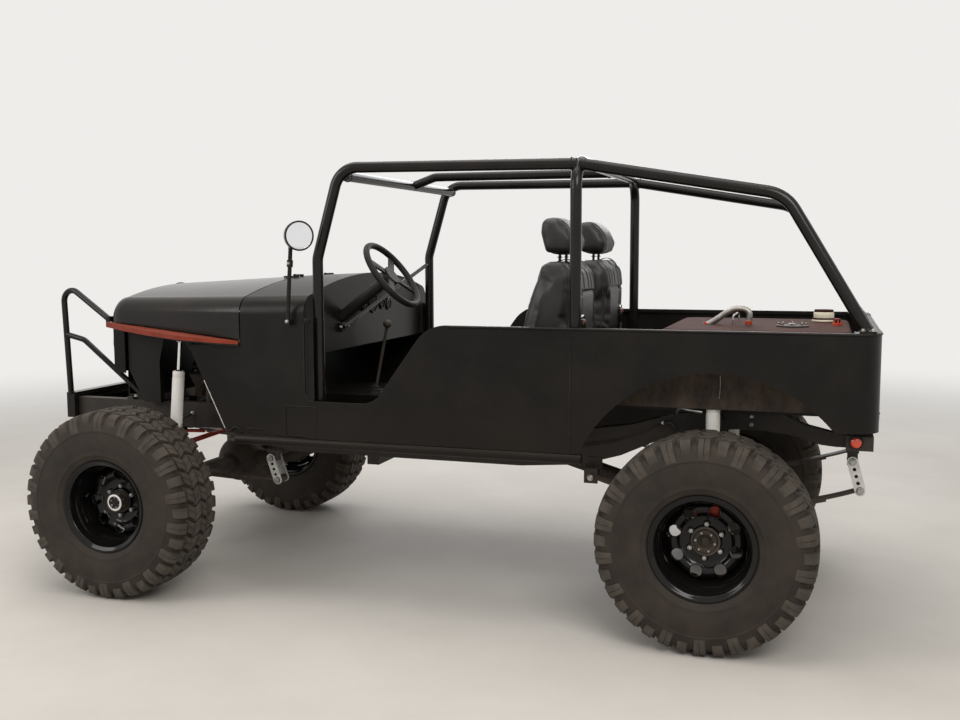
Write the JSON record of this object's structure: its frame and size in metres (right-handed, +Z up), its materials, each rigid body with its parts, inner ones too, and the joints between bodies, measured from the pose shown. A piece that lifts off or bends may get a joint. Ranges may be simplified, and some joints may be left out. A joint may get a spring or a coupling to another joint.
{
  "type": "lifted open off-road utility vehicle",
  "caption": "Lifted open-top off-road utility vehicle with a full tube cage, leaf springs, large mud tyres, bucket seats and a fuel cell in the bed.",
  "frame": {"origin": "on the ground under the centre of the vehicle's overall box", "axes": "+X is forward, +Y is the driver's left and +Z is up"},
  "size_m": [3.968, 2.044, 1.99],
  "materials": {
    "frame_black": "satin",
    "axle_black": "satin",
    "link_steel": "satin",
    "red_paint": "satin",
    "wheel_grip": "satin",
    "engine_cast": "rough",
    "body_black": "satin",
    "hood_black": "gloss",
    "tube_black": "gloss",
    "cell_black": "gloss",
    "seat_leather": "satin",
    "spring_steel": "satin",
    "zinc": "satin",
    "shock_white": "gloss",
    "rim_black": "gloss",
    "tyre_rubber": "rough"
  },
  "bodies": {
    "chassis": {"cage": "tube_black", "engine": "engine_cast", "fender_left": "red_paint", "fender_right": "red_paint", "frame": "frame_black", "front_axle": "axle_black", "front_bumper": "frame_black", "front_shaft": "frame_black", "fuel_cell": "cell_black", "grille": "body_black", "mirror": "body_black", "rear_axle": "axle_black", "rear_shaft": "frame_black", "seat_left": "seat_leather", "seat_right": "seat_leather", "shackle_front_left": "zinc", "shackle_front_right": "zinc", "shackle_rear_left": "zinc", "shackle_rear_right": "zinc", "shock_front_left": "shock_white", "shock_front_right": "shock_white", "shock_rear_left": "shock_white", "shock_rear_right": "shock_white", "spring_front_left": "spring_steel", "spring_front_right": "spring_steel", "spring_rear_left": "spring_steel", "spring_rear_right": "spring_steel", "steering_column": "frame_black", "tub": "body_black"},
    "knuckle_left": {"knuckle_left": "axle_black"},
    "knuckle_right": {"knuckle_right": "axle_black"},
    "tie_rod": {"tie_rod": "link_steel"},
    "pitman_arm": {"pitman_arm": "link_steel"},
    "drag_link": {"drag_link": "red_paint"},
    "steering_wheel": {"steering_wheel": "wheel_grip"},
    "hood": {"hood": "hood_black"},
    "tailgate": {"tailgate": "body_black"},
    "wheel_front_left": {"rim_front_left": "rim_black", "tyre_front_left": "tyre_rubber"},
    "wheel_front_right": {"rim_front_right": "rim_black", "tyre_front_right": "tyre_rubber"},
    "wheel_rear_left": {"rim_rear_left": "rim_black", "tyre_rear_left": "tyre_rubber"},
    "wheel_rear_right": {"rim_rear_right": "rim_black", "tyre_rear_right": "tyre_rubber"}
  },
  "joints": [
    {"name": "steer_left", "type": "hinge", "parent": "chassis", "child": "knuckle_left", "pos_m": [1.3545, 0.735, 0.4375], "axis": [0, 0, 1], "range_deg": [-26, 26]},
    {"name": "steer_right", "type": "hinge", "parent": "chassis", "child": "knuckle_right", "pos_m": [1.3545, -0.735, 0.4375], "axis": [0, 0, 1], "range_deg": [-26, 26]},
    {"name": "tie_rod_turn", "type": "hinge", "parent": "knuckle_left", "child": "tie_rod", "pos_m": [1.5045, 0.735, 0.4195], "axis": [0, 0, 1], "range_deg": [-26, 26]},
    {"name": "pitman_turn", "type": "hinge", "parent": "chassis", "child": "pitman_arm", "pos_m": [1.362, 0.345, 0.68], "axis": [0, 0, 1], "range_deg": [-26, 26]},
    {"name": "drag_link_turn", "type": "hinge", "parent": "pitman_arm", "child": "drag_link", "pos_m": [1.512, 0.405, 0.56], "axis": [0, 0, 1], "range_deg": [-26, 26]},
    {"name": "steering_wheel_turn", "type": "hinge", "parent": "chassis", "child": "steering_wheel", "pos_m": [0.178, 0.36, 1.486], "axis": [-0.797, 0, 0.604], "range_deg": [-416, 416]},
    {"name": "hood_hinge", "type": "hinge", "parent": "chassis", "child": "hood", "pos_m": [0.782, 0, 1.478], "axis": [0, -1, 0], "range_deg": [0, 55]},
    {"name": "tailgate_hinge", "type": "hinge", "parent": "chassis", "child": "tailgate", "pos_m": [-1.9765, 0, 0.93], "axis": [0, -1, 0], "range_deg": [0, 90]},
    {"name": "spin_front_left", "type": "hinge", "parent": "knuckle_left", "child": "wheel_front_left", "pos_m": [1.3545, 0.865, 0.4375], "axis": [0, 1, 0], "continuous": true},
    {"name": "spin_rear_left", "type": "hinge", "parent": "chassis", "child": "wheel_rear_left", "pos_m": [-1.3305, 0.735, 0.4375], "axis": [0, 1, 0], "continuous": true},
    {"name": "spin_front_right", "type": "hinge", "parent": "knuckle_right", "child": "wheel_front_right", "pos_m": [1.3545, -0.865, 0.4375], "axis": [0, 1, 0], "continuous": true},
    {"name": "spin_rear_right", "type": "hinge", "parent": "chassis", "child": "wheel_rear_right", "pos_m": [-1.3305, -0.735, 0.4375], "axis": [0, 1, 0], "continuous": true}
  ],
  "couplings": [
    {"joint": "steer_right", "follows": "steer_left", "ratio": 1},
    {"joint": "tie_rod_turn", "follows": "steer_left", "ratio": -1},
    {"joint": "pitman_turn", "follows": "steer_left", "ratio": 1},
    {"joint": "drag_link_turn", "follows": "steer_left", "ratio": -1},
    {"joint": "steering_wheel_turn", "follows": "steer_left", "ratio": 16}
  ]
}
